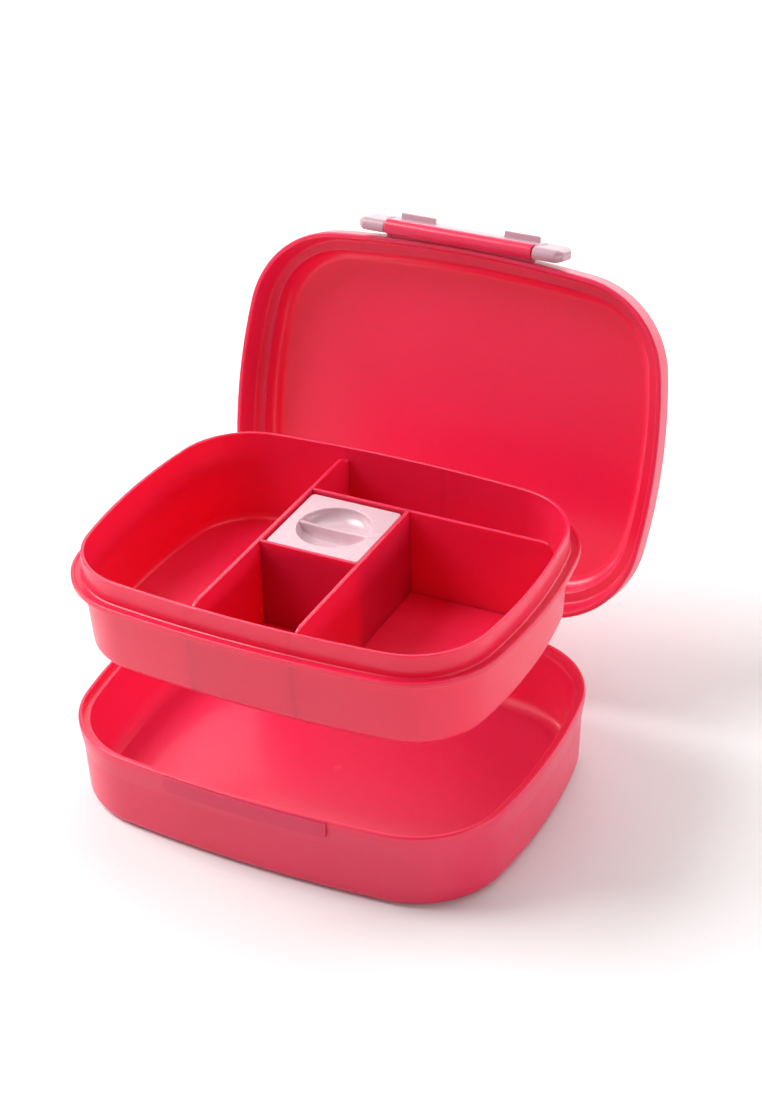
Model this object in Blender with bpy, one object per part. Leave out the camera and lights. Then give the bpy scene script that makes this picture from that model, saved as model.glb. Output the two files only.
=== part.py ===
"""A bento lunch box, standing open: a bowed oval box, a compartment tray raised above it, a small
square sauce pot with its own lid in the tray, and a domed lid hinged at the back with a front clip.

Lengths are in millimetres and become metres where a mesh is made. X runs along the long side,
-Y is the front (the clip's side) and +Z is up. The origin is the middle of the box's underside.
"""
import math

import bmesh
import bpy
from mathutils import Matrix, Vector

MM = 0.001
GAP = 0.3  # clearance between pieces that touch

# Plan outline: three arcs a quarter, bowed long side, round corner, bowed short side.
HALF_LENGTH = 100.0
HALF_WIDTH = 78.0
CORNER_RADIUS = 42.5
LONG_SIDE_BOW = 8.5
SHORT_SIDE_BOW = 12.0
CORNER_STEPS = 9
SIDE_STEPS = 5

# Lower box
BOX_HEIGHT = 36.0
BOX_FLOOR = 1.8
LIP_WIDTH = 2.8  # top of the rim, outside the step that the tray's flange drops into
LEDGE_WIDTH = 2.9
LEDGE_Z = 33.6
LUG_HALF_WIDTH = 36.5  # front latch lug
LUG_BOTTOM_Z = 26.6

# Compartment tray, in its seated place
FLANGE_THICKNESS = 2.2
FLANGE_Z = LEDGE_Z + GAP
FLANGE_INSET = 4.2
COLLAR_INSET = 8.6
COLLAR_TAPER = 0.3
TRAY_RIM_Z = 45.5
TRAY_BOTTOM_Z = 2.4
TRAY_WALL = 1.6
TRAY_FLOOR = 1.8
TRAY_RAISED = 69.0  # how far above its seat it stands at rest
DIVIDER_THICKNESS = 1.8
DIVIDER_DROP = 2.4  # divider tops below the tray's rim
DIVIDER_SHOULDER_DROP = 7.5
CELL_LEFT_X = -24.8
CELL_RIGHT_X = 20.0
CELL_FRONT_Y = -10.8
CELL_BACK_Y = 34.3

# Sauce pot and its lid, seated in the tray's square cell
POT_SIDE = 39.0
POT_CORNER = 5.0
POT_WALL = 1.4
POT_LID_SIDE = 41.0
POT_LID_TOP_Z = TRAY_RIM_Z - 3.6
POT_LID_SKIRT = 6.0
POT_DISH_RADIUS = 15.8
POT_DISH_DEPTH = 5.0

# Lid, in its closed place
LID_RIM_Z = BOX_HEIGHT + GAP
LID_WALL = 1.8
LAND_DEPTH = 10.0  # the flat land that closes over the tray's collar
DOME_DEPTH = 19.0
LID_OPEN = math.radians(106.0)

# Rear hinge
HINGE_Y = 81.2
HINGE_Z = 34.2
HINGE_PIN_RADIUS = 1.2
KNUCKLE_RADIUS = 2.7
KNUCKLE_HALF = 16.0  # the lid's middle knuckle
HINGE_HALF = 30.0  # the whole hinge

# Front clip
CLIP_Y = -(HALF_WIDTH + 3.6)
CLIP_Z = LID_RIM_Z
BARREL_RADIUS = 3.3
BARREL_HALF = 34.0
CLIP_HALF = 47.5
CLIP_PIVOT_RADIUS = 1.5
CLIP_PIVOT_LENGTH = 7.0
CLIP_TOP_REACH = 3.3
CLIP_BOTTOM_REACH = 14.0
HOOK_DROP = 10.0  # pivot axis down to the hooks' upper face
HOOK_THICKNESS = 2.0
HOOK_REACH = 5.0  # pivot axis in to the hooks' tips
CLIP_OPEN = math.radians(180.0)

CORAL = (0.80, 0.075, 0.115)
CORAL_DEEP = (0.78, 0.06, 0.10)
DUSTY_PINK = (0.72, 0.42, 0.47)
STEEL = (0.60, 0.60, 0.62)


def clear_scene():
    for item in list(bpy.data.objects):
        bpy.data.objects.remove(item, do_unlink=True)


def make_collection(name):
    made = bpy.data.collections.new(name)
    bpy.context.scene.collection.children.link(made)
    return made


def material(name, colour, roughness, metallic=0.0):
    made = bpy.data.materials.new(name)
    made.use_nodes = True
    shader = made.node_tree.nodes["Principled BSDF"]
    shader.inputs["Base Color"].default_value = (*colour, 1.0)
    shader.inputs["Roughness"].default_value = roughness
    shader.inputs["Metallic"].default_value = metallic
    return made


def arc(centre, radius, start, end, steps):
    """Points along an arc, from start towards end, without the last."""
    turns = [start + (end - start) * i / steps for i in range(steps)]
    return [(centre[0] + radius * math.cos(t), centre[1] + radius * math.sin(t)) for t in turns]


def outline(inset):
    """The bowed oval, drawn inset by a distance, anticlockwise from the middle of the right side."""
    a, b, corner = HALF_LENGTH - inset, HALF_WIDTH - inset, CORNER_RADIUS - inset
    long_radius = (HALF_LENGTH**2 + LONG_SIDE_BOW**2) / (2 * LONG_SIDE_BOW) - inset
    short_radius = (HALF_WIDTH**2 + SHORT_SIDE_BOW**2) / (2 * SHORT_SIDE_BOW) - inset
    short_centre = Vector((a - short_radius, 0.0))
    long_centre = Vector((0.0, b - long_radius))
    # the corner's centre is its radius inside both side arcs
    to_short, to_long = short_radius - corner, long_radius - corner
    across = long_centre - short_centre
    along = (to_short**2 - to_long**2 + across.length_squared) / (2 * across.length)
    aside = math.sqrt(to_short**2 - along**2)
    unit = across.normalized()
    normal = Vector((-unit.y, unit.x))
    centre = short_centre + unit * along + normal * aside
    short_end = math.atan2(*((centre - short_centre).yx))
    long_start = math.atan2(*((centre - long_centre).yx))
    quarter = arc(short_centre, short_radius, 0.0, short_end, SIDE_STEPS)
    quarter += arc(centre, corner, short_end, long_start, CORNER_STEPS)
    quarter += arc(long_centre, long_radius, long_start, math.pi / 2, SIDE_STEPS)
    top = [(0.0, b)]
    left = [(-x, y) for x, y in reversed(quarter)]
    upper = quarter + top + left
    lower = [(x, -y) for x, y in reversed(upper)][1:-1]
    return upper + lower


def rounded_square(side, corner, steps=5):
    """A square with round corners about the origin, anticlockwise."""
    half = side / 2 - corner
    points = []
    for quarter in range(4):
        turn = quarter * math.pi / 2
        centre = Matrix.Rotation(turn, 2) @ Vector((half, half))
        points += [*arc(centre, corner, turn, turn + math.pi / 2, steps)]
        points += arc(centre, corner, turn + math.pi / 2, turn + math.pi, 1)
    return points


def loft(rings):
    """A closed mesh through rings of equal length, each a list of (x, y, z), capped at both ends."""
    mesh = bmesh.new()
    made = [[mesh.verts.new(Vector(point) * MM) for point in ring] for ring in rings]
    count = len(made[0])
    for lower, upper in zip(made, made[1:]):
        for i in range(count):
            j = (i + 1) % count
            mesh.faces.new((lower[i], lower[j], upper[j], upper[i]))
    mesh.faces.new(list(reversed(made[0])))
    mesh.faces.new(made[-1])
    return mesh


def oval_loft(section):
    """A loft of the oval through a section's (inset, z) points."""
    return loft([[(x, y, z) for x, y in outline(inset)] for inset, z in section])


def slab(profile, low, high, axis):
    """A profile's outline extruded along an axis from low to high. For 'X' it is (y, z), for 'Y' (x, z)
    and for 'Z' (x, y)."""
    place = {
        "X": lambda u, v, w: (w, u, v),
        "Y": lambda u, v, w: (u, w, v),
        "Z": lambda u, v, w: (u, v, w),
    }[axis]
    mesh = loft([[place(u, v, w) for u, v in profile] for w in (low, high)])
    bmesh.ops.recalc_face_normals(mesh, faces=mesh.faces)
    return mesh


def box(low, high):
    mesh = bmesh.new()
    size = [(h - l) * MM for l, h in zip(low, high)]
    middle = Vector([(h + l) / 2 * MM for l, h in zip(low, high)])
    bmesh.ops.create_cube(mesh, size=1.0, matrix=Matrix.Translation(middle) @ Matrix.Diagonal((*size, 1.0)))
    return mesh


def rod_x(radius, low, high, y, z, segments=20):
    """A cylinder along X."""
    mesh = bmesh.new()
    place = Matrix.Translation(Vector(((low + high) / 2, y, z)) * MM) @ Matrix.Rotation(math.pi / 2, 4, "Y")
    bmesh.ops.create_cone(mesh, cap_ends=True, segments=segments, radius1=radius * MM, radius2=radius * MM,
                          depth=(high - low) * MM, matrix=place)
    return mesh


def bore_x(radius, low, high, y, z, segments=20):
    """A bore along X for a rod of this radius and number of sides: its flats keep the clearance."""
    return rod_x((radius + GAP) / math.cos(math.pi / segments), low, high, y, z, segments)


def finish(mesh, name, collection, look, origin=(0.0, 0.0, 0.0), turn_x=0.0, lift=0.0):
    """An object from a mesh in its seated place, its origin at a point, then turned about X and lifted."""
    origin = Vector(origin)
    bmesh.ops.translate(mesh, verts=mesh.verts, vec=-origin * MM)
    data = bpy.data.meshes.new(name)
    mesh.to_mesh(data)
    mesh.free()
    data.materials.append(look)
    item = bpy.data.objects.new(name, data)
    item.location = (origin + Vector((0.0, 0.0, lift))) * MM
    item.rotation_euler.x = turn_x
    collection.objects.link(item)
    data.shade_smooth()
    data.set_sharp_from_angle(angle=math.radians(30))
    return item


def helper(mesh, name, collection, parent):
    """A cutter or an added body, kept out of the render, in its parent's own frame."""
    item = finish(mesh, name, collection, bpy.data.materials["helper"], origin=parent["seat"])
    item.hide_render = True
    item.display_type = "WIRE"
    item.parent = parent
    item.location = (0.0, 0.0, 0.0)
    return item


def boolean(target, other, operation):
    step = target.modifiers.new(other.name, "BOOLEAN")
    step.object = other
    step.operation = operation
    step.solver = "EXACT"


def seat(item, origin):
    """Remembers the seated origin of an object, so that helpers are modelled in the seated place."""
    item["seat"] = origin
    return item


def make_lower_box(parts, helpers, look):
    ledge_inner = LIP_WIDTH + LEDGE_WIDTH
    section = [
        (9.0, 0.0), (5.6, 0.4), (3.8, 1.6), (3.0, 3.8), (2.8, 8.0), (1.9, 29.2), (0.6, 30.6), (0.0, 31.8),
        (0.0, BOX_HEIGHT - 0.7), (0.7, BOX_HEIGHT),
        (LIP_WIDTH - 0.4, BOX_HEIGHT), (LIP_WIDTH, BOX_HEIGHT - 0.5), (LIP_WIDTH, LEDGE_Z),
        (ledge_inner - 0.3, LEDGE_Z), (ledge_inner, LEDGE_Z - 0.5),
        (6.2, 9.0), (6.9, 5.2), (8.6, 2.8), (12.0, BOX_FLOOR),
    ]
    item = seat(finish(oval_loft(section), "lower_box", parts, look), (0.0, 0.0, 0.0))
    boolean(item, helper(make_front_lug(), "front_lug", helpers, item), "UNION")
    for side in (-1, 1):
        ears = helper(make_box_ear(side), f"box_ear_{side + 1}", helpers, item)
        boolean(item, ears, "UNION")
    bore = bore_x(HINGE_PIN_RADIUS, -HINGE_HALF - 1.0, HINGE_HALF - 2.0, HINGE_Y, HINGE_Z)
    boolean(item, helper(bore, "box_hinge_bore", helpers, item), "DIFFERENCE")
    return item


def bowed_edge(along, inset, half_span, bow, reach):
    """How far out a bowed side stands at a place along it, drawn inset."""
    radius = (half_span**2 + bow**2) / (2 * bow) - inset
    return reach - inset - radius + math.sqrt(radius**2 - along**2)


def front_edge(x, inset=0.0):
    """The front wall's y at an x."""
    return -bowed_edge(x, inset, HALF_LENGTH, LONG_SIDE_BOW, HALF_WIDTH)


def right_edge(y, inset=0.0):
    """The right wall's x at a y."""
    return bowed_edge(y, inset, HALF_WIDTH, SHORT_SIDE_BOW, HALF_LENGTH)


def make_front_lug():
    """The rail under the front rim that the clip's hooks catch: its face follows the rim's bow."""
    steps = 8
    xs = [-LUG_HALF_WIDTH + 2 * LUG_HALF_WIDTH * i / steps for i in range(steps + 1)]
    rings = []
    for x in xs:
        end = 1.6 if abs(x) == LUG_HALF_WIDTH else 0.0
        outer, inner = front_edge(x, 0.3 + end), front_edge(x, 3.9)
        top, bottom = LEDGE_Z - 0.8, LUG_BOTTOM_Z + end
        rings.append([
            (x, outer, bottom + 0.6), (x, outer + 0.6, bottom), (x, inner, bottom), (x, inner, top),
            (x, outer, top),
        ])
    mesh = loft(rings)
    bmesh.ops.recalc_face_normals(mesh, faces=mesh.faces)
    return mesh


def teardrop(reach_y, reach_low, reach_high, radius=KNUCKLE_RADIUS):
    """A hinge knuckle's side view, (y, z): a round nose about the pin, joined back to a wall at reach_y."""
    nose = arc((HINGE_Y, HINGE_Z), radius, -math.pi / 2, math.pi / 2, 10)
    nose.append((HINGE_Y, HINGE_Z + radius))
    return [(reach_y, reach_low), *nose, (reach_y, reach_high)]


def make_box_ear(side):
    """One of the two outer knuckles, standing out from the back wall under the rim."""
    low, high = sorted((side * (KNUCKLE_HALF + GAP), side * HINGE_HALF))
    profile = [(HALF_WIDTH - 3.0, 22.0), (HALF_WIDTH - 1.6, 22.0)]
    profile += teardrop(HALF_WIDTH - 3.0, 22.0, 31.0)[1:]
    return slab(profile, low, high, "X")


def make_tray(parts, helpers, look):
    flange_top = FLANGE_Z + FLANGE_THICKNESS
    rim_outer = COLLAR_INSET + COLLAR_TAPER
    floor_z = TRAY_BOTTOM_Z + TRAY_FLOOR
    section = [
        (16.6, TRAY_BOTTOM_Z), (13.4, TRAY_BOTTOM_Z + 0.4), (11.4, TRAY_BOTTOM_Z + 1.9), (10.5, 7.2),
        (8.8, FLANGE_Z), (FLANGE_INSET + 0.5, FLANGE_Z), (FLANGE_INSET, FLANGE_Z + 0.5),
        (FLANGE_INSET, flange_top - 0.5), (FLANGE_INSET + 0.5, flange_top),
        (COLLAR_INSET - 0.3, flange_top), (COLLAR_INSET, flange_top + 0.5),
        (rim_outer, TRAY_RIM_Z - 0.4), (rim_outer + 0.4, TRAY_RIM_Z),
        (rim_outer + TRAY_WALL - 0.4, TRAY_RIM_Z), (rim_outer + TRAY_WALL, TRAY_RIM_Z - 0.4),
        (10.7, flange_top), (12.2, 8.4), (13.0, 6.0), (15.0, floor_z + 0.4), (18.2, floor_z),
    ]
    item = finish(oval_loft(section), "compartment_tray", parts, look, lift=TRAY_RAISED)
    seat(item, (0.0, 0.0, 0.0))
    for name, mesh in make_dividers():
        boolean(item, helper(mesh, name, helpers, item), "UNION")
    return item


def divider_end(edge):
    """The (along, z) points of a divider's end inside a wall, from its foot up to its rounded shoulder.
    edge(inset) gives the wall's place and way out along the divider."""
    top = TRAY_RIM_Z - DIVIDER_DROP
    shoulder = TRAY_RIM_Z - DIVIDER_SHOULDER_DROP
    radius = top - shoulder
    foot = [(edge(16.8), TRAY_BOTTOM_Z + 0.9), (edge(12.4), 5.2), (edge(11.3), 8.2), (edge(10.0), shoulder)]
    level = edge(15.2)
    inward = math.copysign(1.0, edge(15.2) - edge(10.0))
    turns = (0.0, math.pi / 6, math.pi / 3, math.pi / 2)
    curve = [(level + inward * radius * (1 - math.cos(t)), shoulder + radius * math.sin(t)) for t in turns]
    return foot + curve


def plain_end(place):
    """A divider's end inside another divider."""
    return [(place, TRAY_BOTTOM_Z + 0.9), (place, TRAY_RIM_Z - DIVIDER_DROP)]


def make_dividers():
    """Two walls from front to back, and two across between them: four compartments and a square cell."""
    half = DIVIDER_THICKNESS / 2

    def front(x):
        return divider_end(lambda inset: front_edge(x, inset))

    def back(x):
        return divider_end(lambda inset: -front_edge(x, inset))

    def right(y):
        return divider_end(lambda inset: right_edge(y, inset))

    runs = [
        ("divider_left", "X", CELL_LEFT_X, front(CELL_LEFT_X), back(CELL_LEFT_X)),
        ("divider_right", "X", CELL_RIGHT_X, front(CELL_RIGHT_X), plain_end(CELL_BACK_Y)),
        ("divider_back", "Y", CELL_BACK_Y, plain_end(CELL_LEFT_X), right(CELL_BACK_Y)),
        ("divider_front", "Y", CELL_FRONT_Y, plain_end(CELL_LEFT_X), plain_end(CELL_RIGHT_X)),
    ]
    return [
        (name, slab(low + list(reversed(high)), place - half, place + half, axis))
        for name, axis, place, low, high in runs
    ]


def cell_centre():
    return (CELL_LEFT_X + CELL_RIGHT_X) / 2, (CELL_FRONT_Y + CELL_BACK_Y) / 2


def square_loft(section):
    """A loft of rounded squares about the cell's centre through (side, corner, z)."""
    x0, y0 = cell_centre()
    rings = []
    for side, corner, z in section:
        rings.append([(x0 + x, y0 + y, z) for x, y in rounded_square(side, corner)])
    return loft(rings)


def make_pot(parts, look):
    bottom = TRAY_BOTTOM_Z + TRAY_FLOOR + GAP
    top = POT_LID_TOP_Z - 1.8 - GAP
    inside = POT_SIDE - 2 * POT_WALL
    section = [
        (POT_SIDE - 9.0, 4.0, bottom), (POT_SIDE - 5.0, POT_CORNER, bottom + 1.2),
        (POT_SIDE - 4.0, POT_CORNER, bottom + 4.0), (POT_SIDE - 2.0, POT_CORNER, top - 7.0),
        (POT_SIDE - 2.0, POT_CORNER, top), (inside - 2.0, POT_CORNER - POT_WALL, top),
        (inside - 4.0, POT_CORNER - POT_WALL, bottom + 4.4), (inside - 8.6, 3.0, bottom + 1.6),
    ]
    return seat(finish(square_loft(section), "sauce_pot", parts, look, lift=TRAY_RAISED), (0.0, 0.0, 0.0))


def make_pot_lid(parts, helpers, look):
    """A square press-on lid with a skirt, and a round dish crossed by a finger grip."""
    x0, y0 = cell_centre()
    under = POT_LID_TOP_Z - 1.8
    skirt = POT_LID_TOP_Z - POT_LID_SKIRT
    hollow = POT_SIDE - 2.0 + 2 * GAP
    section = [
        (hollow, POT_CORNER + GAP, under), (hollow, POT_CORNER + GAP, skirt),
        (POT_LID_SIDE - 0.6, POT_CORNER, skirt), (POT_LID_SIDE, POT_CORNER, skirt + 0.5),
        (POT_LID_SIDE, POT_CORNER, POT_LID_TOP_Z - 0.8),
        (POT_LID_SIDE - 1.6, POT_CORNER, POT_LID_TOP_Z),
    ]
    mesh = square_loft(section)
    bmesh.ops.recalc_face_normals(mesh, faces=mesh.faces)
    item = seat(finish(mesh, "sauce_pot_lid", parts, look, lift=TRAY_RAISED), (0.0, 0.0, 0.0))

    def bowl(radius, depth, top, name):
        """A shallow turned bowl, as a solid."""
        steps = 5
        turns = [t * math.pi / 2 / steps for t in reversed(range(steps))]
        circle = [i * math.pi / 12 for i in range(24)]
        rings = []
        for t in turns:
            r = radius * math.cos(t) ** 0.7
            z = top - depth * math.sin(t)
            rings.append([(x0 + r * math.cos(a), y0 + r * math.sin(a), z) for a in circle])
        return helper(loft(rings), name, helpers, item)

    top = POT_LID_TOP_Z
    end, middle = POT_DISH_RADIUS + 0.6, 9.0
    floor = top - POT_DISH_DEPTH - 0.4
    outside = bowl(POT_DISH_RADIUS + 0.9, POT_DISH_DEPTH + 1.4, top - 1.0, "dish_outside")
    boolean(item, outside, "UNION")
    boolean(item, bowl(POT_DISH_RADIUS, POT_DISH_DEPTH, top + 0.05, "dish_hollow"), "DIFFERENCE")
    grip = [
        (x0 - end, top - 0.9), (x0 - middle, top - 0.3), (x0, top), (x0 + middle, top - 0.3),
        (x0 + end, top - 0.9), (x0 + middle, floor), (x0 - middle, floor),
    ]
    boolean(item, helper(slab(grip, y0 - 1.1, y0 + 1.1, "Y"), "grip_blade", helpers, item), "UNION")
    return item


def make_lid(parts, helpers, look):
    def z(depth):
        return LID_RIM_Z + depth

    panel_out = z(DOME_DEPTH + LID_WALL)
    section = [
        (18.0, z(DOME_DEPTH)), (14.6, z(18.7)), (12.2, z(17.6)), (10.4, z(15.6)), (9.6, z(13.0)),
        (9.3, z(LAND_DEPTH + 0.7)), (8.9, z(LAND_DEPTH)), (5.0, z(LAND_DEPTH)), (3.9, z(LAND_DEPTH - 0.6)),
        (2.5, z(0.0)), (0.7, z(0.0)), (0.3, z(0.4)),
        (0.4, z(9.2)), (1.6, z(11.3)), (4.5, z(11.9)), (7.0, z(12.2)), (7.7, z(13.4)),
        (8.3, z(15.8)), (9.6, z(18.2)), (11.8, z(20.0)), (14.6, z(20.7)), (18.0, panel_out),
    ]
    mesh = oval_loft(section)
    bmesh.ops.recalc_face_normals(mesh, faces=mesh.faces)
    hinge = (0.0, HINGE_Y, HINGE_Z)
    item = seat(finish(mesh, "lid", parts, look, origin=hinge, turn_x=-LID_OPEN), hinge)
    boolean(item, helper(make_barrel(), "clip_barrel", helpers, item), "UNION")
    for side in (-1, 1):
        boolean(item, helper(make_barrel_cheek(side), f"barrel_cheek_{side + 1}", helpers, item), "UNION")
        low, high = sorted((side * (BARREL_HALF + 1.0), side * (BARREL_HALF - CLIP_PIVOT_LENGTH)))
        bore = bore_x(CLIP_PIVOT_RADIUS, low, high, CLIP_Y, CLIP_Z, 16)
        boolean(item, helper(bore, f"clip_bore_{side + 1}", helpers, item), "DIFFERENCE")
    boolean(item, helper(make_lid_knuckle(), "lid_knuckle", helpers, item), "UNION")
    bore = bore_x(HINGE_PIN_RADIUS, -KNUCKLE_HALF - 1.0, KNUCKLE_HALF + 1.0, HINGE_Y, HINGE_Z)
    boolean(item, helper(bore, "lid_hinge_bore", helpers, item), "DIFFERENCE")
    return item


def make_barrel():
    return rod_x(BARREL_RADIUS, -BARREL_HALF, BARREL_HALF, CLIP_Y, CLIP_Z)


def make_barrel_cheek(side):
    """A web that joins one end of the barrel to the lid's rim."""
    low, high = sorted((side * BARREL_HALF, side * (BARREL_HALF - 2.4)))
    wall_y = front_edge(BARREL_HALF, 1.6)
    profile = [(wall_y, LID_RIM_Z + 0.6), (wall_y, LID_RIM_Z + 4.4), (CLIP_Y, CLIP_Z + BARREL_RADIUS - 0.4),
               (CLIP_Y - 1.0, CLIP_Z), (CLIP_Y, CLIP_Z + 0.3)]
    return slab(profile, low, high, "X")


def make_lid_knuckle():
    """The middle knuckle of the hinge, on an arm from the lid's back skirt."""
    profile = teardrop(HALF_WIDTH - 1.4, LID_RIM_Z + 0.4, LID_RIM_Z + 4.0)
    profile.insert(1, (HINGE_Y - 2.4, LID_RIM_Z + 0.4))
    return slab(profile, -KNUCKLE_HALF, KNUCKLE_HALF, "X")


def make_hinge_pin(parts, look):
    pin = rod_x(HINGE_PIN_RADIUS, -HINGE_HALF + 0.5, HINGE_HALF - 2.0 - GAP, HINGE_Y, HINGE_Z)
    return finish(pin, "hinge_pin", parts, look, origin=(0.0, HINGE_Y, HINGE_Z))


def clip_origin_open():
    """Where the clip's axis stands once the lid is open, relative to the lid's closed place."""
    arm = Vector((0.0, CLIP_Y - HINGE_Y, CLIP_Z - HINGE_Z))
    turned = Matrix.Rotation(-LID_OPEN, 3, "X") @ arm
    return Vector((0.0, HINGE_Y, HINGE_Z)) + turned


def make_clip(parts, helpers, look):
    """A U-shaped latch: two end blocks on short pivots, and a plate below the barrel with two hooks."""
    inner, outer = CLIP_Y + 2.6, CLIP_Y - 3.3
    top, bottom = CLIP_Z + CLIP_TOP_REACH, CLIP_Z - CLIP_BOTTOM_REACH
    plate_top = CLIP_Z - BARREL_RADIUS - 0.5
    end_half = BARREL_HALF + GAP
    plate = [
        (inner, bottom + 0.8), (inner, plate_top), (outer + 2.0, plate_top), (outer + 0.6, plate_top - 2.0),
        (outer, bottom + 1.2), (outer + 0.8, bottom), (inner - 0.8, bottom),
    ]
    origin = (0.0, CLIP_Y, CLIP_Z)
    body = slab(plate, -end_half - 3.0, end_half + 3.0, "X")
    item = seat(finish(body, "front_clip", parts, look, origin=origin), origin)
    for side in (-1, 1):
        end = make_clip_end(side, inner, outer, top, bottom)
        boolean(item, helper(end, f"clip_end_{side + 1}", helpers, item), "UNION")
        low, high = sorted((side * (end_half + 1.5), side * (BARREL_HALF - CLIP_PIVOT_LENGTH + GAP)))
        pivot = rod_x(CLIP_PIVOT_RADIUS, low, high, CLIP_Y, CLIP_Z, 16)
        boolean(item, helper(pivot, f"clip_pivot_{side + 1}", helpers, item), "UNION")
        hook = box((side * 24.3 - 8.1, inner - 0.8, CLIP_Z - HOOK_DROP - HOOK_THICKNESS),
                   (side * 24.3 + 8.1, CLIP_Y + HOOK_REACH, CLIP_Z - HOOK_DROP))
        boolean(item, helper(hook, f"clip_hook_{side + 1}", helpers, item), "UNION")
    item.location = clip_origin_open() * MM
    item.rotation_euler.x = -LID_OPEN - CLIP_OPEN
    return item


def make_clip_end(side, inner, outer, top, bottom):
    """An end block of the clip, rounded about the pivot, with a bevelled outer end."""
    round_top = arc((0.0, 0.0), 1.0, 0.0, math.pi, 6) + [(-1.0, 0.0)]
    radius = (inner - outer) / 2
    middle = (inner + outer) / 2
    section = [(inner, bottom + 0.8)]
    section += [(middle + radius * x, top - radius + radius * y) for x, y in round_top]
    section += [(outer, bottom + 1.2), (outer + 0.8, bottom), (inner - 0.8, bottom)]
    centre = Vector((sum(y for y, z in section) / len(section), sum(z for y, z in section) / len(section)))
    rings = []
    for x, shrink in ((BARREL_HALF + GAP, 0.94), (BARREL_HALF + GAP + 0.5, 1.0), (CLIP_HALF - 4.0, 1.0),
                      (CLIP_HALF, 0.45)):
        ring = [centre + (Vector(point) - centre) * shrink for point in section]
        rings.append([(side * x, point.x, point.y) for point in ring])
    mesh = loft(rings)
    bmesh.ops.recalc_face_normals(mesh, faces=mesh.faces)
    return mesh


def main():
    clear_scene()
    parts = make_collection("bento_lunch_box")
    helpers = make_collection("cutters")
    helpers.hide_render = True
    material("helper", (0.5, 0.5, 0.5), 0.5)
    coral = material("coral_plastic", CORAL, 0.32)
    coral_deep = material("coral_tray_plastic", CORAL_DEEP, 0.34)
    pink = material("pink_plastic", DUSTY_PINK, 0.36)
    steel = material("pin_steel", STEEL, 0.3, 1.0)
    make_lower_box(parts, helpers, coral)
    make_hinge_pin(parts, steel)
    make_tray(parts, helpers, coral_deep)
    make_pot(parts, pink)
    make_pot_lid(parts, helpers, pink)
    make_lid(parts, helpers, coral)
    make_clip(parts, helpers, pink)


main()
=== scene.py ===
"""The looks of a bento lunch box that stands open: fine meshes over the CAD frame in a white studio."""

import math

import bmesh
import bpy
from mathutils import Matrix, Vector


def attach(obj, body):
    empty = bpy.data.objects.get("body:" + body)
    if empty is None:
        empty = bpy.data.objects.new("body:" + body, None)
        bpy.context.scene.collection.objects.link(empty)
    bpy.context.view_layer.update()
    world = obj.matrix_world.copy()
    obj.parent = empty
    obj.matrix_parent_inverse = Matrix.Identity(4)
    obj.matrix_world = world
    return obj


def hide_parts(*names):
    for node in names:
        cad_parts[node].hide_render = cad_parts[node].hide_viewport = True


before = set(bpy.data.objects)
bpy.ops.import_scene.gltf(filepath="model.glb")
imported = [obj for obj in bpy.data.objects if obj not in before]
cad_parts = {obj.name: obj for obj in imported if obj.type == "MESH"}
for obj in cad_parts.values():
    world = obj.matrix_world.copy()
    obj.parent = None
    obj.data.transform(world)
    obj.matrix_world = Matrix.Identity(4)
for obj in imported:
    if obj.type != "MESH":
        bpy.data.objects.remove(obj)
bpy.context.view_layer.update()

# Sizes in millimetres, in the frame of the closed box. HINGE and CLIP are points on the two pivots' axes,
# and CELL is the middle of the tray's square cell.
MM = 0.001
HALF_LENGTH, HALF_WIDTH, CORNER = 100.0, 78.0, 42.5
LONG_BOW, SHORT_BOW = 8.5, 12.0
BOX_TOP = 36.0
TRAY_RIM, TRAY_LIFT = 45.5, 69.0
LID_RIM, LID_OPEN = 36.3, math.radians(106.0)
HINGE = Vector((0.0, 81.2, 34.2))
CLIP = Vector((0.0, -81.6, 36.3))
CELL = (-2.4, 11.75)
POT_TOP = 41.9
BARREL_HALF, BARREL_RADIUS = 34.0, 3.3
KNUCKLE_RADIUS = 2.7
DIVIDERS_X, DIVIDERS_Y, DIVIDER_HALF = (-24.8, 20.0), (-10.8, 34.3), 0.9


# ---------------------------------------------------------------- shapes
def arc(centre, radius, start, end, steps):
    """Points along an arc, all but its last one."""
    turns = [start + (end - start) * i / steps for i in range(steps)]
    return [(centre[0] + radius * math.cos(t), centre[1] + radius * math.sin(t)) for t in turns]


def outline(inset, side=12, corner=22):
    """The bowed oval drawn inset, as arcs that meet smoothly, anticlockwise."""
    a, b, rc = HALF_LENGTH - inset, HALF_WIDTH - inset, CORNER - inset
    long_r = (HALF_LENGTH**2 + LONG_BOW**2) / (2 * LONG_BOW) - inset
    short_r = (HALF_WIDTH**2 + SHORT_BOW**2) / (2 * SHORT_BOW) - inset
    c_short, c_long = Vector((a - short_r, 0.0)), Vector((0.0, b - long_r))
    to_short, to_long = short_r - rc, long_r - rc
    across = c_long - c_short
    along = (to_short**2 - to_long**2 + across.length_squared) / (2 * across.length)
    aside = math.sqrt(to_short**2 - along**2)
    unit = across.normalized()
    centre = c_short + unit * along + Vector((-unit.y, unit.x)) * aside
    t_short = math.atan2(centre.y - c_short.y, centre.x - c_short.x)
    t_long = math.atan2(centre.y - c_long.y, centre.x - c_long.x)
    quarter = arc(c_short, short_r, 0.0, t_short, side) + arc(centre, rc, t_short, t_long, corner)
    quarter += arc(c_long, long_r, t_long, math.pi / 2, side)
    upper = quarter + [(0.0, b)] + [(-x, y) for x, y in reversed(quarter)]
    return upper + [(x, -y) for x, y in reversed(upper)][1:-1]


def edge_y(x, inset=0.0):
    """The front wall's y at an x."""
    radius = (HALF_LENGTH**2 + LONG_BOW**2) / (2 * LONG_BOW) - inset
    return -(HALF_WIDTH - inset - radius + math.sqrt(radius**2 - x**2))


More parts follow.
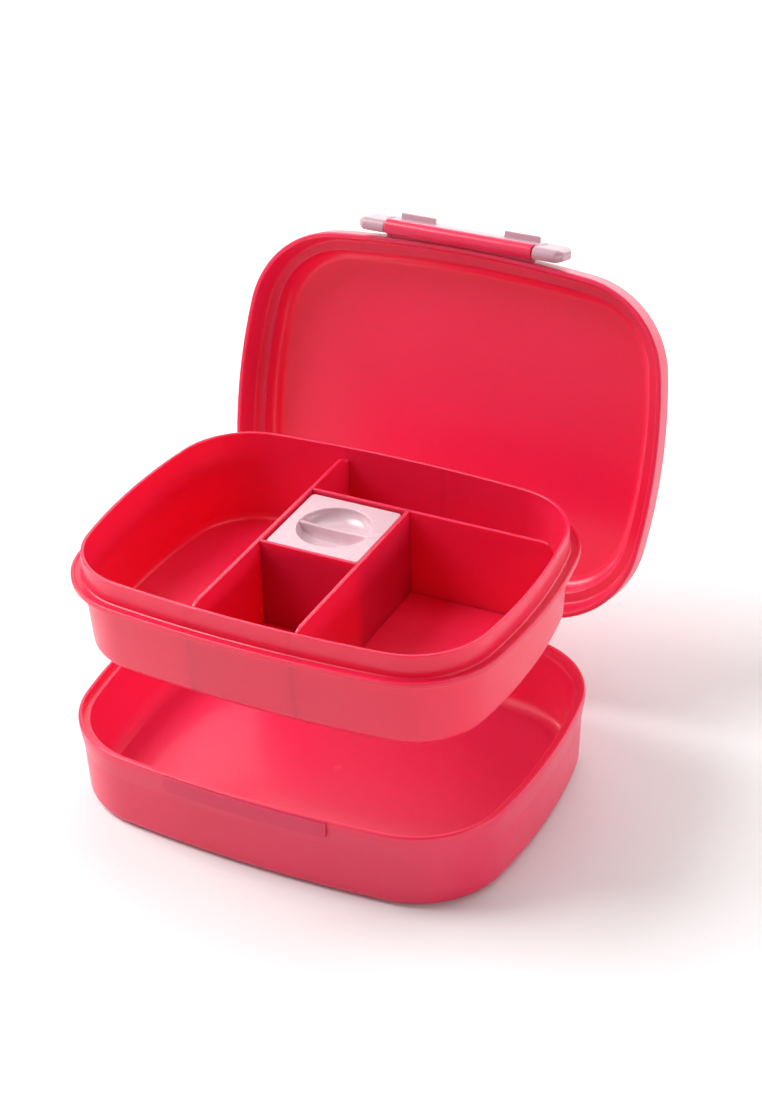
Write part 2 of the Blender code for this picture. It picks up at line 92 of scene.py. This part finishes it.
def edge_x(y, inset=0.0):
    """The right wall's x at a y."""
    radius = (HALF_WIDTH**2 + SHORT_BOW**2) / (2 * SHORT_BOW) - inset
    return HALF_LENGTH - inset - radius + math.sqrt(radius**2 - y**2)


def soften(points, steps=6, closed=False):
    """A path through (u, v, radius) corners, with each corner turned into an arc of its radius."""
    made, count = [], len(points)
    for i, (u, v, radius) in enumerate(points):
        corner = Vector((u, v))
        if radius <= 0.0 or (not closed and i in (0, count - 1)):
            made.append((u, v))
            continue
        before = Vector(points[i - 1][:2]) - corner
        after = Vector(points[(i + 1) % count][:2]) - corner
        room = 0.49 * min(before.length, after.length)
        before.normalize()
        after.normalize()
        half = math.acos(max(-1.0, min(1.0, before.dot(after)))) / 2
        if half > 1.55:
            made.append((u, v))
            continue
        reach = min(radius / math.tan(half), room)
        radius = reach * math.tan(half)
        centre = corner + (before + after).normalized() * (radius / math.sin(half))
        start, end = corner + before * reach - centre, corner + after * reach - centre
        t0 = math.atan2(start.y, start.x)
        turn = (math.atan2(end.y, end.x) - t0 + math.pi) % (2 * math.pi) - math.pi
        for k in range(steps + 1):
            t = t0 + turn * k / steps
            made.append((centre.x + radius * math.cos(t), centre.y + radius * math.sin(t)))
    return made


def split(path, longest):
    """The same path with its long stretches cut shorter, so that shading stays even."""
    made = [path[0]]
    for p, q in zip(path, path[1:]):
        parts = max(1, math.ceil(math.dist(p, q) / longest))
        for k in range(1, parts + 1):
            made.append((p[0] + (q[0] - p[0]) * k / parts, p[1] + (q[1] - p[1]) * k / parts))
    return made


def loft(rings, mesh=None):
    """A closed body through rings of equal counts of points, in millimetres."""
    mesh = mesh or bmesh.new()
    made = [[mesh.verts.new(Vector(p) * MM) for p in ring] for ring in rings]
    count = len(made[0])
    for lower, upper in zip(made, made[1:]):
        for i in range(count):
            j = (i + 1) % count
            mesh.faces.new((lower[i], lower[j], upper[j], upper[i]))
    mesh.faces.new(list(reversed(made[0])))
    mesh.faces.new(made[-1])
    return mesh


def oval(section, longest=9.0):
    """A closed body through a section of (inset, z, radius) corners, carried round the oval."""
    path = split(soften(section), longest)
    return loft([[(x, y, z) for x, y in outline(inset)] for inset, z in path])


def polar_square(side, corner, turn):
    """The point of a round-cornered square in one direction from its middle."""
    c, s = abs(math.cos(turn)), abs(math.sin(turn))
    half, inner = side / 2, side / 2 - corner
    reach = half / max(c, s)
    x, y = reach * c, reach * s
    if min(x, y) > inner:
        mid = inner * (c + s)
        reach = mid + math.sqrt(max(0.0, mid * mid - 2 * inner * inner + corner * corner))
        x, y = reach * c, reach * s
    return math.copysign(x, math.cos(turn)), math.copysign(y, math.sin(turn))


def square_loft(path, count=144):
    """A body through (side, corner, z) rings round the tray's cell; a corner of None makes a round ring."""
    rings = []
    for side, corner, z in path:
        ring = []
        for i in range(count):
            turn = 2 * math.pi * i / count + math.pi / count
            if corner is None:
                x, y = side / 2 * math.cos(turn), side / 2 * math.sin(turn)
            else:
                x, y = polar_square(side, corner, turn)
            ring.append((CELL[0] + x, CELL[1] + y, z))
        rings.append(ring)
    return loft(rings)


def bar_x(stations, mesh=None):
    """A body along X through (x, [(y, z), ...]) stations with equal counts of points."""
    return loft([[(x, y, z) for y, z in ring] for x, ring in stations], mesh=mesh)


def rod_x(radius, low, high, y, z, round_end=0.4, count=48, mesh=None):
    """A round bar along X with softened ends."""
    near = 0.3 * round_end
    ends = [(low, radius - round_end), (low + near, radius - near), (low + round_end, radius)]
    ends += [(high - round_end, radius), (high - near, radius - near), (high, radius - round_end)]
    turns = [2 * math.pi * i / count for i in range(count)]
    return bar_x([(x, [(y + r * math.cos(t), z + r * math.sin(t)) for t in turns]) for x, r in ends], mesh)


def slab(profile, low, high, axis, soft=0.4, mesh=None):
    """A closed outline (u, v) with some thickness along an axis, its long edges rounded."""
    middle = Vector((sum(p[0] for p in profile), sum(p[1] for p in profile))) / len(profile)
    count = len(profile)
    rings = []
    for w, shrink in ((low, soft), (low + 0.3 * soft, 0.3 * soft), (low + soft, 0.0), (high - soft, 0.0),
                      (high - 0.3 * soft, 0.3 * soft), (high, soft)):
        ring = []
        for i, p in enumerate(profile):
            a, b = Vector(profile[i - 1]), Vector(profile[(i + 1) % count])
            along = (b - a).normalized()
            normal = Vector((-along.y, along.x))
            if normal.dot(middle - Vector(p)) < 0:
                normal = -normal
            q = Vector(p) + normal * shrink
            ring.append({"X": (w, q.x, q.y), "Y": (q.x, w, q.y), "Z": (q.x, q.y, w)}[axis])
        rings.append(ring)
    return loft(rings, mesh=mesh)


def piece(mesh, name, body, look, node=None, place=None, sharp=38):
    """One object from a mesh in the closed box's frame: it rides a body, and can replace a CAD node."""
    bmesh.ops.recalc_face_normals(mesh, faces=mesh.faces)
    data = bpy.data.meshes.new(name)
    mesh.to_mesh(data)
    mesh.free()
    if place is not None:
        data.transform(place)
    data.materials.append(look)
    data.shade_smooth()
    data.set_sharp_from_angle(angle=math.radians(sharp))
    item = bpy.data.objects.new(name, data)
    bpy.context.scene.collection.objects.link(item)
    even = item.modifiers.new("even_normals", "WEIGHTED_NORMAL")
    even.keep_sharp = True
    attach(item, body)
    if node:
        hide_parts(node)
    return item


def about(point, turn):
    """A turn about an X axis through a point in millimetres."""
    shift = Matrix.Translation(point * MM)
    return shift @ Matrix.Rotation(turn, 4, "X") @ shift.inverted()


LID_PLACE = about(HINGE, -LID_OPEN)
CLIP_PLACE = LID_PLACE @ about(CLIP, -math.pi)
TRAY_PLACE = Matrix.Translation((0.0, 0.0, TRAY_LIFT * MM))


# ---------------------------------------------------------------- materials
def node(tree, kind, **values):
    made = tree.nodes.new(kind)
    for key, value in values.items():
        setattr(made, key, value)
    return made


def plastic(name, base, deep, pale, rough, scatter, painted_divider_shade=()):
    """Moulded polypropylene: a drift of colour, paler on sharp outer edges, fine scuffs in the gloss, a micro
    grain, and painted shade as narrow darker bands at the given x places, where the dividers meet the walls.
    """
    look = bpy.data.materials.new(name)
    look.use_nodes = True
    tree = look.node_tree
    shader = tree.nodes["Principled BSDF"]
    link = tree.links.new
    place = node(tree, "ShaderNodeTexCoord").outputs["Object"]

    drift = node(tree, "ShaderNodeTexNoise")
    drift.inputs["Scale"].default_value = 14.0
    drift.inputs["Detail"].default_value = 1.0
    link(place, drift.inputs["Vector"])
    tone = node(tree, "ShaderNodeMix", data_type="RGBA")
    tone.inputs["A"].default_value = (*deep, 1.0)
    tone.inputs["B"].default_value = (*base, 1.0)
    spread = node(tree, "ShaderNodeMapRange")
    spread.inputs["From Min"].default_value = 0.2
    spread.inputs["From Max"].default_value = 0.8
    link(drift.outputs["Fac"], spread.inputs["Value"])
    link(spread.outputs["Result"], tone.inputs["Factor"])

    # The colour turns paler on sharp outer edges, by how pointed the surface is there.
    edge = node(tree, "ShaderNodeNewGeometry")
    sharp_edge_share = node(tree, "ShaderNodeMapRange")
    sharp_edge_share.inputs["From Min"].default_value = 0.56
    sharp_edge_share.inputs["From Max"].default_value = 0.72
    sharp_edge_share.inputs["To Max"].default_value = 0.30
    link(edge.outputs["Pointiness"], sharp_edge_share.inputs["Value"])
    paler_edges = node(tree, "ShaderNodeMix", data_type="RGBA")
    paler_edges.inputs["B"].default_value = (*pale, 1.0)
    link(sharp_edge_share.outputs["Result"], paler_edges.inputs["Factor"])
    link(tone.outputs["Result"], paler_edges.inputs["A"])
    colour = paler_edges.outputs["Result"]

    # Painted shade: a darker band of the deep colour at each given x, over the divider there and the walls it
    # meets, standing in for the dividers' shade seen through the thin wall.
    if painted_divider_shade:
        across = node(tree, "ShaderNodeSeparateXYZ")
        link(place, across.inputs["Vector"])
        for x in painted_divider_shade:
            gap = node(tree, "ShaderNodeMath", operation="SUBTRACT")
            gap.inputs[1].default_value = x * MM
            link(across.outputs["X"], gap.inputs[0])
            size = node(tree, "ShaderNodeMath", operation="ABSOLUTE")
            link(gap.outputs[0], size.inputs[0])
            near = node(tree, "ShaderNodeMapRange", interpolation_type="SMOOTHSTEP")
            near.inputs["From Min"].default_value = 0.0006
            near.inputs["From Max"].default_value = 0.0016
            near.inputs["To Min"].default_value = 0.3
            near.inputs["To Max"].default_value = 0.0
            link(size.outputs[0], near.inputs["Value"])
            mark = node(tree, "ShaderNodeMix", data_type="RGBA")
            mark.inputs["B"].default_value = (*(0.85 * c for c in deep), 1.0)
            link(near.outputs["Result"], mark.inputs["Factor"])
            link(colour, mark.inputs["A"])
            colour = mark.outputs["Result"]
    link(colour, shader.inputs["Base Color"])

    scuff = node(tree, "ShaderNodeTexNoise")
    scuff.inputs["Scale"].default_value = 90.0
    scuff.inputs["Detail"].default_value = 2.0
    stretch = node(tree, "ShaderNodeMapping")
    stretch.inputs["Scale"].default_value = (1.0, 1.3, 0.8)
    link(place, stretch.inputs["Vector"])
    link(stretch.outputs["Vector"], scuff.inputs["Vector"])
    gloss = node(tree, "ShaderNodeMapRange")
    gloss.inputs["From Min"].default_value = 0.2
    gloss.inputs["From Max"].default_value = 0.9
    gloss.inputs["To Min"].default_value = rough - 0.02
    gloss.inputs["To Max"].default_value = rough + 0.05
    link(scuff.outputs["Fac"], gloss.inputs["Value"])
    link(gloss.outputs["Result"], shader.inputs["Roughness"])

    grain = node(tree, "ShaderNodeTexNoise")
    grain.inputs["Scale"].default_value = 1900.0
    grain.inputs["Detail"].default_value = 2.0
    link(place, grain.inputs["Vector"])
    wave = node(tree, "ShaderNodeTexNoise")
    wave.inputs["Scale"].default_value = 38.0
    wave.inputs["Detail"].default_value = 1.0
    link(place, wave.inputs["Vector"])
    fine = node(tree, "ShaderNodeBump")
    fine.inputs["Strength"].default_value = 0.10
    fine.inputs["Distance"].default_value = 0.00006
    link(grain.outputs["Fac"], fine.inputs["Height"])
    slow = node(tree, "ShaderNodeBump")
    slow.inputs["Strength"].default_value = 0.10
    slow.inputs["Distance"].default_value = 0.0006
    link(wave.outputs["Fac"], slow.inputs["Height"])
    link(fine.outputs["Normal"], slow.inputs["Normal"])
    link(slow.outputs["Normal"], shader.inputs["Normal"])

    shader.inputs["IOR"].default_value = 1.49
    shader.inputs["Subsurface Weight"].default_value = scatter
    shader.inputs["Subsurface Radius"].default_value = (1.0, 0.18, 0.2)
    shader.inputs["Subsurface Scale"].default_value = 0.006
    shader.inputs["Coat Weight"].default_value = 0.22
    shader.inputs["Coat Roughness"].default_value = 0.12
    return look


def steel(name):
    """Drawn steel wire with a fine unevenness in its gloss."""
    look = bpy.data.materials.new(name)
    look.use_nodes = True
    tree = look.node_tree
    shader = tree.nodes["Principled BSDF"]
    drawn = node(tree, "ShaderNodeTexNoise")
    drawn.inputs["Scale"].default_value = 900.0
    spread = node(tree, "ShaderNodeMapRange")
    spread.inputs["To Min"].default_value = 0.22
    spread.inputs["To Max"].default_value = 0.42
    tree.links.new(node(tree, "ShaderNodeTexCoord").outputs["Object"], drawn.inputs["Vector"])
    tree.links.new(drawn.outputs["Fac"], spread.inputs["Value"])
    tree.links.new(spread.outputs["Result"], shader.inputs["Roughness"])
    shader.inputs["Base Color"].default_value = (0.56, 0.56, 0.58, 1.0)
    shader.inputs["Metallic"].default_value = 1.0
    return look


coral = plastic("coral", (0.80, 0.020, 0.098), (0.73, 0.013, 0.078), (0.88, 0.12, 0.20), 0.35, 0.6)
# The tray's plastic, with painted shade in bands at the two dividers that stand at fixed x.
tray_coral = plastic("tray_coral", (0.84, 0.018, 0.088), (0.77, 0.011, 0.070), (0.90, 0.12, 0.20), 0.34, 0.8,
                     painted_divider_shade=DIVIDERS_X)
nub_coral = plastic("nub_coral", (0.80, 0.028, 0.10), (0.73, 0.020, 0.08), (0.88, 0.12, 0.20), 0.35, 0.0)
pink = plastic("pink", (0.78, 0.55, 0.60), (0.73, 0.49, 0.545), (0.86, 0.70, 0.74), 0.26, 0.05)
# The clip's pink is the pot's pink made darker: painted shade on the clip.
shaded_clip_pink = plastic("shaded_clip_pink", (0.58, 0.35, 0.41), (0.53, 0.31, 0.37), (0.72, 0.54, 0.59), 0.38, 0.05)
metal = steel("steel")


# ---------------------------------------------------------------- lower box
def lower_box():
    return oval([
        (26.0, 0.25, 0.0), (11.0, 0.25, 0.5), (10.2, 0.0, 0.5), (3.1, 0.0, 5.0), (2.2, 24.0, 8.0),
        (0.95, 32.5, 5.0), (0.8, BOX_TOP, 0.85), (2.5, BOX_TOP, 0.55), (2.7, 33.5, 0.35), (5.55, 33.5, 0.45),
        (5.9, 32.0, 1.0), (6.4, 1.8, 6.0), (26.0, 1.8, 0.0),
    ])


def front_lug():
    """The rail on the front rim that the clip's hooks catch, with round lower corners."""
    half, round_end, stations = 36.5, 2.4, []
    marks = [half - round_end * (1 - math.cos(k * math.pi / 20)) for k in range(11)]
    marks = [-x for x in marks] + [-30 + 5 * k for k in range(13)] + list(reversed(marks))
    for x in marks:
        near = max(0.0, (abs(x) - (half - round_end)) / round_end)
        low = 27.6 + round_end * (1.0 - math.sqrt(max(0.0, 1.0 - near * near)))
        out, top = edge_y(x, 0.03) + (0.35 if near > 0.99 else 0.0), 35.5
        stations.append((x, [(out + 2.4, low), (out + 0.7, low), (out + 0.2, low + 0.2), (out, low + 0.6),
                             (out, top - 0.5), (out + 0.15, top - 0.15), (out + 0.5, top), (out + 2.0, top)]))
    return bar_x(stations)


def nose():
    """The round back of a hinge knuckle, from its lowest point up to its highest."""
    round_part = arc((HINGE.y, HINGE.z), KNUCKLE_RADIUS, -math.pi / 2, math.pi / 2, 24)
    return round_part + [(HINGE.y, HINGE.z + KNUCKLE_RADIUS)]


def ear(side):
    """One of the box's two outer hinge knuckles."""
    low, high = sorted((side * 16.3, side * 30.0))
    return slab([(75.2, 22.0), (76.4, 22.0), *nose(), (75.2, 31.0)], low, high, "X", 0.35)


def gate_mark(x, y, z, radius):
    """The small nub that the mould's gate leaves."""
    rings = []
    turns = [i * math.pi / 16 for i in range(32)]
    for share, h in ((1.0, 0.0), (0.96, 0.10), (0.8, 0.16), (0.45, 0.16), (0.36, 0.10), (0.2, 0.34), (0.08, 0.40)):
        r = radius * share
        rings.append([(x + r * math.cos(t), y + r * math.sin(t), z + h) for t in turns])
    return loft(rings)


piece(lower_box(), "box_shell", "lower_box", coral, "lower_box")
piece(front_lug(), "box_latch_lug", "lower_box", coral)
for side, tag in ((-1, "left"), (1, "right")):
    piece(ear(side), f"box_knuckle_{tag}", "lower_box", coral)
piece(gate_mark(3.0, -3.0, 1.8, 2.2), "box_gate_mark", "lower_box", nub_coral)
piece(rod_x(1.2, -29.5, 27.7, HINGE.y, HINGE.z, 0.3), "pin", "lower_box", metal, "hinge_pin")


# ---------------------------------------------------------------- tray
def tray_shell():
    return oval([
        (26.0, 2.4, 0.0), (11.0, 2.4, 4.4), (8.95, 33.5, 0.6), (8.6, 33.9, 0.5), (4.2, 33.9, 0.5),
        (4.2, 36.3, 0.55), (5.5, 36.3, 0.45), (5.8, 35.8, 0.35), (8.0, 35.8, 0.4), (8.55, 36.1, 0.4),
        (8.9, TRAY_RIM, 0.6), (10.45, TRAY_RIM, 0.6), (10.7, 36.1, 4.0), (12.3, 7.0, 3.0),
        (13.2, 4.2, 4.5), (26.0, 4.2, 0.0),
    ])


def divider_end(edge, low_z, shoulder_drop, radius):
    """A divider's end in a wall, from its foot to the flat of its top, with a rounded drop."""
    top, shoulder = TRAY_RIM - 2.4, TRAY_RIM - shoulder_drop
    inward = math.copysign(1.0, edge(15.2) - edge(10.0))
    foot = [(edge(17.0), low_z), (edge(12.6), 5.2), (edge(11.4), 8.2), (edge(10.2), shoulder - 0.2)]
    level = edge(13.6)
    rise = top - shoulder
    path = [(level + inward * radius * (1 - math.cos(t)), shoulder + rise * math.sin(t))
            for t in [k * math.pi / 2 / 8 for k in range(9)]]
    return foot + [(level - inward * 0.6, shoulder)] + path


def plain_end(place):
    return [(place, 3.4), (place, TRAY_RIM - 2.4)]


def dividers():
    top_soft = 0.55
    left, right = DIVIDERS_X
    front, back = DIVIDERS_Y

    def at_front(x, drop):
        return divider_end(lambda inset: edge_y(x, inset), 3.3, drop, 5.0)

    def at_back(x, drop):
        return divider_end(lambda inset: -edge_y(x, inset), 3.3, drop, 5.0)

    def at_right(y, drop):
        return divider_end(lambda inset: edge_x(y, inset), 3.3, drop, 5.0)

    runs = [
        ("tray_divider_left", "X", left, at_front(left, 7.5), at_back(left, 5.5)),
        ("tray_divider_right", "X", right, at_front(right, 8.5), plain_end(back)),
        ("tray_divider_back", "Y", back, plain_end(left), at_right(back, 9.0)),
        ("tray_divider_front", "Y", front, plain_end(left), plain_end(right)),
    ]
    for name, axis, place, low, high in runs:
        profile = low + list(reversed(high))
        mesh = slab(profile, place - DIVIDER_HALF, place + DIVIDER_HALF, axis, top_soft)
        piece(mesh, name, "compartment_tray", tray_coral, place=TRAY_PLACE)


tray = piece(
    tray_shell(), "tray_shell", "compartment_tray", tray_coral, "compartment_tray", TRAY_PLACE
)
dividers()


# ---------------------------------------------------------------- sauce pot
def pot_rings():
    outer = soften([
        (30.0, 4.5, 0.0), (35.0, 4.5, 1.6), (36.0, 9.0, 2.0), (37.0, 39.8, 0.4), (34.4, 39.8, 0.4),
        (32.0, 9.0, 3.0), (29.0, 6.1, 1.5), (26.0, 6.1, 0.0),
    ], 4)
    return [(side, 4.6 if i < 14 else 3.6, z) for i, (side, z) in enumerate(outer)]


def pot_lid_rings():
    """The lid's skirt and top in squares, then the dish in rounds."""
    side, corner = 41.3, 1.7
    outside = [(37.7, 3.0, 35.9), (side - 0.8, corner, 35.9), (side - 0.25, corner, 36.15)]
    outside += [(side, corner, 36.7), (side, corner, POT_TOP - 0.6)]
    for k in range(1, 7):
        t = k * math.pi / 2 / 6
        drop = 1 - math.cos(t)
        outside.append((side - 1.2 * drop, corner - 0.5 * drop, POT_TOP - 0.6 + 0.6 * math.sin(t)))
    dish = []
    for k in range(1, 6):
        t = k * math.pi / 2 / 5
        dish.append((31.9 - 1.1 * math.sin(t), None, POT_TOP - 0.6 * (1 - math.cos(t))))
    for k in range(1, 16):
        t = k * math.pi / 2 / 16
        dish.append((30.8 * math.cos(t) ** 0.55, None, POT_TOP - 0.6 - 5.7 * math.sin(t)))
    under = [(37.6, 3.0, 40.0), (37.6, 3.0, 36.0)]
    return [(20.0, None, 34.4), (34.8, None, 39.6), *under, *outside, *dish]


def grip():
    """The finger grip across the dish: a thin crest, a little lower at its middle, on a foot that widens."""
    stations = []
    for i in range(33):
        x = -15.4 + 30.8 * i / 32
        crest = POT_TOP - 0.25 - 0.9 * (1 - (x / 15.4) ** 2)
        half = 0.55 + 0.9 * abs(x / 15.4) ** 5
        turns = [k * math.pi / 8 for k in range(5)]
        side = [(half * math.sin(t), crest - half * (1 - math.cos(t))) for t in turns]
        for k in range(1, 9):
            d = k / 8
            side.append((half + 0.5 * d + 1.1 * d ** 4, crest - half - (crest - half - (POT_TOP - 6.35)) * d))
        ring = [(CELL[1] + w, z) for w, z in side] + [(CELL[1] - w, z) for w, z in reversed(side[1:])]
        stations.append((CELL[0] + x, ring))
    return bar_x(stations)


piece(square_loft(pot_rings()), "pot", "sauce_pot", pink, "sauce_pot", TRAY_PLACE)
piece(
    square_loft(pot_lid_rings()), "pot_lid", "sauce_pot_lid", pink, "sauce_pot_lid", TRAY_PLACE, 50
)
piece(grip(), "pot_lid_grip", "sauce_pot_lid", pink, place=TRAY_PLACE)


# ---------------------------------------------------------------- lid
def lid_shell():
    def z(depth):
        return LID_RIM + depth

    return oval([
        (26.0, z(19.0), 0.0), (10.2, z(19.0), 7.0), (9.2, z(10.0), 0.8), (4.4, z(10.0), 1.2),
        (2.5, z(0.0), 0.7), (0.3, z(0.0), 0.7), (0.35, z(11.5), 2.6), (7.7, z(12.2), 1.0),
        (8.3, z(18.0), 4.0), (14.9, z(20.75), 8.0), (26.0, z(20.75), 0.0),
    ])


def knuckle():
    """The lid's middle hinge knuckle."""
    return slab([(76.6, 36.7), (78.8, 36.7), *nose(), (76.6, 40.3)], -16.0, 16.0, "X", 0.35)


def barrel():
    """The bar that the clip turns on, with webs at its ends and a thin bridge along it that join it to the rim."""
    mesh = rod_x(BARREL_RADIUS, -BARREL_HALF, BARREL_HALF, CLIP.y, CLIP.z, 0.35, 64)
    for side in (-1, 1):
        low, high = sorted((side * BARREL_HALF, side * (BARREL_HALF - 2.2)))
        wall = edge_y(BARREL_HALF, 1.6)
        web = soften([
            (wall, 36.9, 0.0), (wall, 40.7, 0.0), (CLIP.y, CLIP.z + 3.1, 1.5), (CLIP.y - 1.2, CLIP.z, 0.3),
            (CLIP.y, CLIP.z + 0.2, 0.0),
        ], 5)
        slab(web, low, high, "X", 0.3, mesh)
    inner = CLIP.y + 1.0
    bridge = soften([(wall, 37.1, 0.0), (wall, 38.6, 0.0), (inner, 38.6, 0.3), (inner, 37.1, 0.3)], 3)
    return slab(bridge, 1.0 - BARREL_HALF, BARREL_HALF - 1.0, "X", 0.2, mesh)


piece(lid_shell(), "lid_shell", "lid", coral, "lid", LID_PLACE)
piece(knuckle(), "lid_knuckle", "lid", coral, place=LID_PLACE)
piece(barrel(), "lid_clip_barrel", "lid", coral, place=LID_PLACE)


# ---------------------------------------------------------------- clip
def clip():
    """A U-shaped latch: a plate below the barrel, two end blocks about its pivots, and two hooks."""
    inner, outer = CLIP.y + 2.5, CLIP.y - 3.1
    top, bottom = CLIP.z + 2.9, CLIP.z - 13.2
    plate_top = CLIP.z - BARREL_RADIUS - 0.5
    plate = soften([(inner, bottom, 0.8), (inner, plate_top, 0.3), (outer + 2.0, plate_top, 0.4),
                    (outer, plate_top - 2.6, 1.0), (outer, bottom, 1.2)], 5, True)
    mesh = slab(plate, -37.0, 37.0, "X", 0.3)
    radius, middle = (inner - outer) / 2, (inner + outer) / 2
    head = arc((middle, top - radius), radius, 0.0, math.pi, 16) + [(outer, top - radius)]
    foot = soften([(outer, top - radius - 1.0, 0.0), (outer, bottom, 1.2), (inner, bottom, 0.8),
                   (inner, top - radius - 1.0, 0.0)], 5)
    section = head + foot
    centre = Vector((middle, (top + bottom) / 2))
    for side in (-1, 1):
        stations = []
        cap = (
            (34.3, 0.95), (34.6, 0.985), (35.0, 1.0), (44.0, 1.0), (44.7, 0.985), (45.2, 0.95), (46.9, 0.72),
            (47.3, 0.62), (47.5, 0.50),
        )
        for x, scale in cap:
            stations.append((side * x, [tuple(centre + (Vector(p) - centre) * scale) for p in section]))
        bar_x(stations, mesh)
        low, high = sorted((side * 35.0, side * 27.3))
        rod_x(1.5, low, high, CLIP.y, CLIP.z, 0.3, 32, mesh)
        root, tip = inner - 0.8, CLIP.y + 5.0
        hook = soften([
            (root, CLIP.z - 12.0, 0.0), (tip - 0.8, CLIP.z - 12.0, 0.8), (tip, CLIP.z - 10.9, 0.4),
            (tip, CLIP.z - 10.0, 0.5), (root, CLIP.z - 10.0, 0.0),
        ], 4)
        slab(hook, side * 24.3 - 8.1, side * 24.3 + 8.1, "X", 0.35, mesh)
    return mesh


# The clip wears the darker copy of the pink, which paints shade on it.
piece(clip(), "clip", "front_clip", shaded_clip_pink, "front_clip", CLIP_PLACE)


# ---------------------------------------------------------------- studio
def paper():
    """A pale floor that curves up into a backdrop far behind; far from the middle it glows up to white."""
    mesh = bmesh.new()
    turns = [k * math.pi / 20 for k in range(1, 11)]
    curve = [(1.6 + 0.8 * math.sin(t), 0.8 - 0.8 * math.cos(t)) for t in turns]
    profile = [(-3.0, 0.0), (1.6, 0.0), *curve, (2.4, 3.0)]
    rows = [[mesh.verts.new((x, y, z - 0.0004)) for x in (-3.0, 3.0)] for y, z in profile]
    for a, b in zip(rows, rows[1:]):
        mesh.faces.new((a[0], a[1], b[1], b[0]))
    data = bpy.data.meshes.new("paper")
    mesh.to_mesh(data)
    mesh.free()
    data.shade_smooth()
    look = bpy.data.materials.new("paper")
    look.use_nodes = True
    tree = look.node_tree
    shader = tree.nodes["Principled BSDF"]
    shader.inputs["Base Color"].default_value = (0.93, 0.93, 0.93, 1.0)
    shader.inputs["Roughness"].default_value = 0.8
    away = node(tree, "ShaderNodeVectorMath", operation="LENGTH")
    tree.links.new(node(tree, "ShaderNodeTexCoord").outputs["Object"], away.inputs[0])
    glow = node(tree, "ShaderNodeMapRange", interpolation_type="SMOOTHSTEP")
    glow.inputs["From Min"].default_value = 1.3
    glow.inputs["From Max"].default_value = 2.6
    tree.links.new(away.outputs["Value"], glow.inputs["Value"])
    tree.links.new(glow.outputs["Result"], shader.inputs["Emission Strength"])
    data.materials.append(look)
    item = bpy.data.objects.new("paper", data)
    bpy.context.scene.collection.objects.link(item)


def lamp(name, place, aim, size, power):
    """A soft white area lamp that points at a place, in metres and watts."""
    data = bpy.data.lights.new(name, "AREA")
    data.shape = "RECTANGLE"
    data.size, data.size_y = size
    data.energy = power
    data.color = (1.0, 1.0, 1.0)
    item = bpy.data.objects.new(name, data)
    item.location = place
    item.rotation_euler = (Vector(aim) - Vector(place)).to_track_quat("-Z", "Y").to_euler()
    bpy.context.scene.collection.objects.link(item)
    return item


def camera():
    """The camera, in millimetres and radians; only the focal length is in rows of the 1100-row frame."""
    focal_rows, frame_rows, sensor = 2294.2, 1100.0, 36.0
    az, el, dist, cx, cy, roll = 0.476, 0.552, 943.1, 21.81, 39.60, -0.029
    back = Vector((math.sin(az) * math.cos(el), -math.cos(az) * math.cos(el), math.sin(el)))
    right = Vector((math.cos(az), math.sin(az), 0.0))
    up = back.cross(right)
    place = Vector((0.0, 0.0, 60.0)) + back * dist + right * cx + up * cy
    side = right * math.cos(roll) + up * math.sin(roll)
    top = up * math.cos(roll) - right * math.sin(roll)
    data = bpy.data.cameras.new("camera")
    data.lens = focal_rows / frame_rows * sensor
    data.sensor_width = sensor
    data.clip_start, data.clip_end = 0.05, 20.0
    item = bpy.data.objects.new("camera", data)
    item.matrix_world = Matrix.Translation(place * MM) @ Matrix((side, top, back)).transposed().to_4x4()
    bpy.context.scene.collection.objects.link(item)
    bpy.context.scene.camera = item


paper()
lamp("key", (-0.92, -0.2, 1.2), (0.0, 0.0, 0.05), (0.8, 0.8), 21.0)
lamp("low_left", (-1.3, -0.1, 0.34), (0.0, 0.0, 0.03), (0.6, 0.14), 2.2)
lamp("low_right", (1.3, 0.0, 0.34), (0.0, 0.0, 0.03), (0.7, 0.16), 4.6)
lamp("front", (-0.7, -1.3, 0.7), (0.0, 0.0, 0.08), (1.2, 0.8), 2.4)
lamp("top", (0.1, 0.4, 1.4), (0.0, 0.0, 0.0), (0.9, 0.5), 4.0)
lamp("backdrop", (0.0, 1.0, 1.7), (0.0, 2.4, 0.9), (2.4, 0.6), 26.0)
# A weak lamp under the raised tray, which moves down with it, lights the inside of the box.
fill = lamp("under_tray", (0.0, 0.0, 0.0695), (0.0, 0.001, 0.0), (0.13, 0.09), 0.056)
fill.parent = tray
# The world lights the object weakly, and the camera sees it as white.
world = bpy.data.worlds.new("studio")
world.use_nodes = True
sky = world.node_tree.nodes["Background"]
sky.inputs["Color"].default_value = (1.0, 1.0, 1.0, 1.0)
seen = node(world.node_tree, "ShaderNodeMapRange")
seen.inputs["To Min"].default_value = 0.16
ray = node(world.node_tree, "ShaderNodeLightPath")
world.node_tree.links.new(ray.outputs["Is Camera Ray"], seen.inputs["Value"])
world.node_tree.links.new(seen.outputs["Result"], sky.inputs["Strength"])
bpy.context.scene.world = world
bpy.context.scene.view_settings.view_transform = "Standard"
camera()
